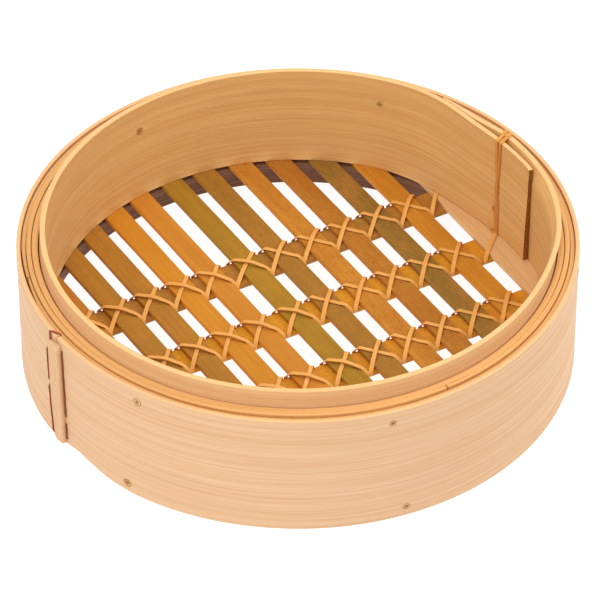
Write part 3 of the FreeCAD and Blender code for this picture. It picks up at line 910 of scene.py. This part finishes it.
def stitches():
    """Those on side -1 lie against the cleat's corner, those on side 1 in the seam, and one goes over the top."""
    across, inward = polar(1, CLEAT_ANGLE + 90), polar(-1, CLEAT_ANGLE)
    for number, (side, low, high) in enumerate(STITCHES):
        points = []
        for k in range(STITCH_POINTS):
            share = k / (STITCH_POINTS - 1)
            z = BAND_TOP * (low + (high - low) * share)
            wave = 0.3 * MM * uneven(7 * share, number, 0.7)
            aside = side * 0.5 * CLEAT_W + (0.6 * STITCH_W if side > 0 else -0.25 * STITCH_W) + wave
            if side < 0:
                aside += 0.5 * CLEAT_CUT * CLEAT_W * eased(1 - z / BAND_TOP, 0.55, 1.0)
            out = band_face(aside, z) + (0.1 * MM if side > 0 else CLEAT_OUT - 0.5 * MM)
            if k in (0, STITCH_POINTS - 1):
                out -= 0.8 * MM
            points.append(on_the_joint(out, aside, z))
        sides = [across if side > 0 else inward] * STITCH_POINTS
        piece = cane_strand("cleat_stitch_%d" % (number + 1), points, sides, STITCH_W,
                            STITCH_T * (1 if side > 0 else 1.5), (10, 6), 83.0 + number)
        stands_for(piece, DYED_CANE, "dyed_cane", "cleat_stitching")
    left, top = -0.5 * CLEAT_W - 0.2 * MM, BAND_TOP - 0.25 * MM
    # Over the top: (how far inside the band's face in millimetres, aside, height)
    run = ((0.4, left, 0.85 * BAND_TOP), (-0.2, left, 0.87 * BAND_TOP), (-0.2, left, 0.93 * BAND_TOP),
           (-0.15, left, BAND_TOP - 1.0 * MM), (0.3, left + 0.4 * MM, top), (0.9, left + 1.5 * MM, top + 0.2 * MM),
           (1.5, left + 3.0 * MM, top + 0.1 * MM), (2.15, left + 4.4 * MM, top),
           (2.25, left + 4.7 * MM, top - 2.0 * MM))
    points = [on_the_joint(band_face(aside, z) - inside * MM, aside, z) for inside, aside, z in run]
    sides = [across, across, across, across, 0.5 * (across + inward), inward, inward, inward, inward]
    piece = cane_strand("cleat_top_stitch", points, sides, 1.4 * MM, STITCH_T, (12, 6), 89.0)
    stands_for(piece, DYED_CANE, "dyed_cane", "cleat_stitching")


stitches()


# ---- pins ----

PIN = bamboo("bamboo_pin", (176, 126, 62), (140, 94, 40), (190, 142, 78), (206, 160, 106), streaky=0.7, hairy=0.5,
             roughness=0.7, relief=0.1)
# From the middle of a head outwards: (radius, height above the wall's face), in millimetres
HEAD = ((0.0, 0.10), (0.5, 0.08), (0.9, 0.02), (1.12, -0.16), (1.22, -0.16), (1.35, 0.05), (1.6, 0.04),
        (1.9, -0.25))


def pin(name, points, seed):
    """A peg through the whole wall, its head in a ring of crushed fibres at each face."""
    middle = sum(points, Vector()) / len(points)
    angle = math.degrees(math.atan2(middle.y, middle.x))
    size = 1.15 + 0.2 * uneven(seed, 0.5, 0.2)
    shift = out_of_round(angle)
    inner, outer = IN_R + shift + 0.08 * MM, OUTER_R + shift - 0.09 * MM
    outline = [(r * MM, 0.5 * (outer - inner) + h * MM) for r, h in HEAD]
    outline += [(r, -h) for r, h in reversed(outline)]
    bm = bmesh.new()
    line = [bm.verts.new((r, h, 0)) for r, h in outline]
    edges = [bm.edges.new(pair) for pair in zip(line, line[1:])]
    bmesh.ops.spin(bm, geom=line + edges, cent=(0, 0, 0), axis=(0, 1, 0), angle=2 * math.pi, steps=20,
                   use_merge=True)
    bmesh.ops.remove_doubles(bm, verts=bm.verts, dist=0.001 * MM)
    out = polar(1, angle)
    across = polar(1, angle + 90)

    def place(s, t, w):
        r = math.hypot(s, w)
        rough = 1 + 0.16 * uneven(2 * s / (r + 0.01 * MM), 2 * w / (r + 0.01 * MM), seed)
        here = out * (0.5 * (inner + outer) + t + 0.05 * MM * uneven(900 * s, 900 * w, seed))
        return here + across * s * rough * size + Vector((0, 0, middle.z + w * rough * size))

    return bent_piece(name, bm, place, 0.5, spare=seed)


for row in ("upper_pins", "lower_pins"):
    for number, points in enumerate(solids(row)):
        stands_for(pin("%s_%d" % (row, number + 1), points, 92.0 + number), PIN, "bamboo_pin", row)


# ---- stage ----

ROOM_LIGHT = 0.82
PAPER_GLOW = 0.9
# Each lamp: place, width, power
LAMPS = {"lamp_above": ((-0.2, -0.2, 1.5), 0.9, 7.0), "lamp_left": ((-1.2, -0.5, 1.0), 0.8, 4.5),
         "lamp_right": ((1.2, -0.3, 1.0), 0.8, 6.0)}
CAMERA_HEIGHT, CAMERA_TURN = 39.727, -30     # degrees
CAMERA_DISTANCE = 1.9345
AIM = (0.92 * MM, 21.18 * MM)                # beside and above the origin, as the camera sees it
LENS, SENSOR = 252.4, 36.0


def studio():
    """A white floor, and soft light from all round and above."""
    world = bpy.data.worlds.new("soft_room")
    world.use_nodes = True
    world.node_tree.nodes["Background"].inputs["Color"].default_value = (1, 1, 1, 1)
    world.node_tree.nodes["Background"].inputs["Strength"].default_value = ROOM_LIGHT
    bpy.context.scene.world = world
    bm = bmesh.new()
    bmesh.ops.create_grid(bm, x_segments=1, y_segments=1, size=3.0)
    mesh = bpy.data.meshes.new("floor")
    bm.to_mesh(mesh)
    bm.free()
    floor = placed("floor", mesh)
    floor.location.z = -0.02 * MM
    paper = bpy.data.materials.new("white_paper")
    paper.use_nodes = True
    shader = paper.node_tree.nodes["Principled BSDF"]
    shader.inputs["Base Color"].default_value = (0.3, 0.3, 0.3, 1)
    shader.inputs["Roughness"].default_value = 0.9
    shader.inputs["Emission Color"].default_value = (1, 1, 1, 1)
    shader.inputs["Emission Strength"].default_value = PAPER_GLOW
    mesh.materials.append(paper)
    for name, (place, size, power) in LAMPS.items():
        light = bpy.data.lights.new(name, "AREA")
        light.shape = "DISK"
        light.size = size
        light.energy = power
        lamp = placed(name, light)
        lamp.location = place
        lamp.rotation_euler = (-Vector(place)).to_track_quat("-Z", "Y").to_euler()


def camera():
    """The viewing angle: a long lens, nearly 40 degrees above the horizon."""
    elevation = math.radians(CAMERA_HEIGHT)
    azimuth = math.radians(CAMERA_TURN)
    back = Vector((math.sin(azimuth) * math.cos(elevation), -math.cos(azimuth) * math.cos(elevation),
                   math.sin(elevation)))
    turn = back.to_track_quat("Z", "Y")
    aim = turn @ Vector((*AIM, 0))
    lens = bpy.data.cameras.new("long_lens")
    lens.lens = LENS
    lens.sensor_width = SENSOR
    made = placed("camera", lens)
    made.location = aim + back * CAMERA_DISTANCE
    made.rotation_euler = turn.to_euler()
    bpy.context.scene.camera = made


studio()
camera()
bpy.context.scene.view_settings.view_transform = "Standard"
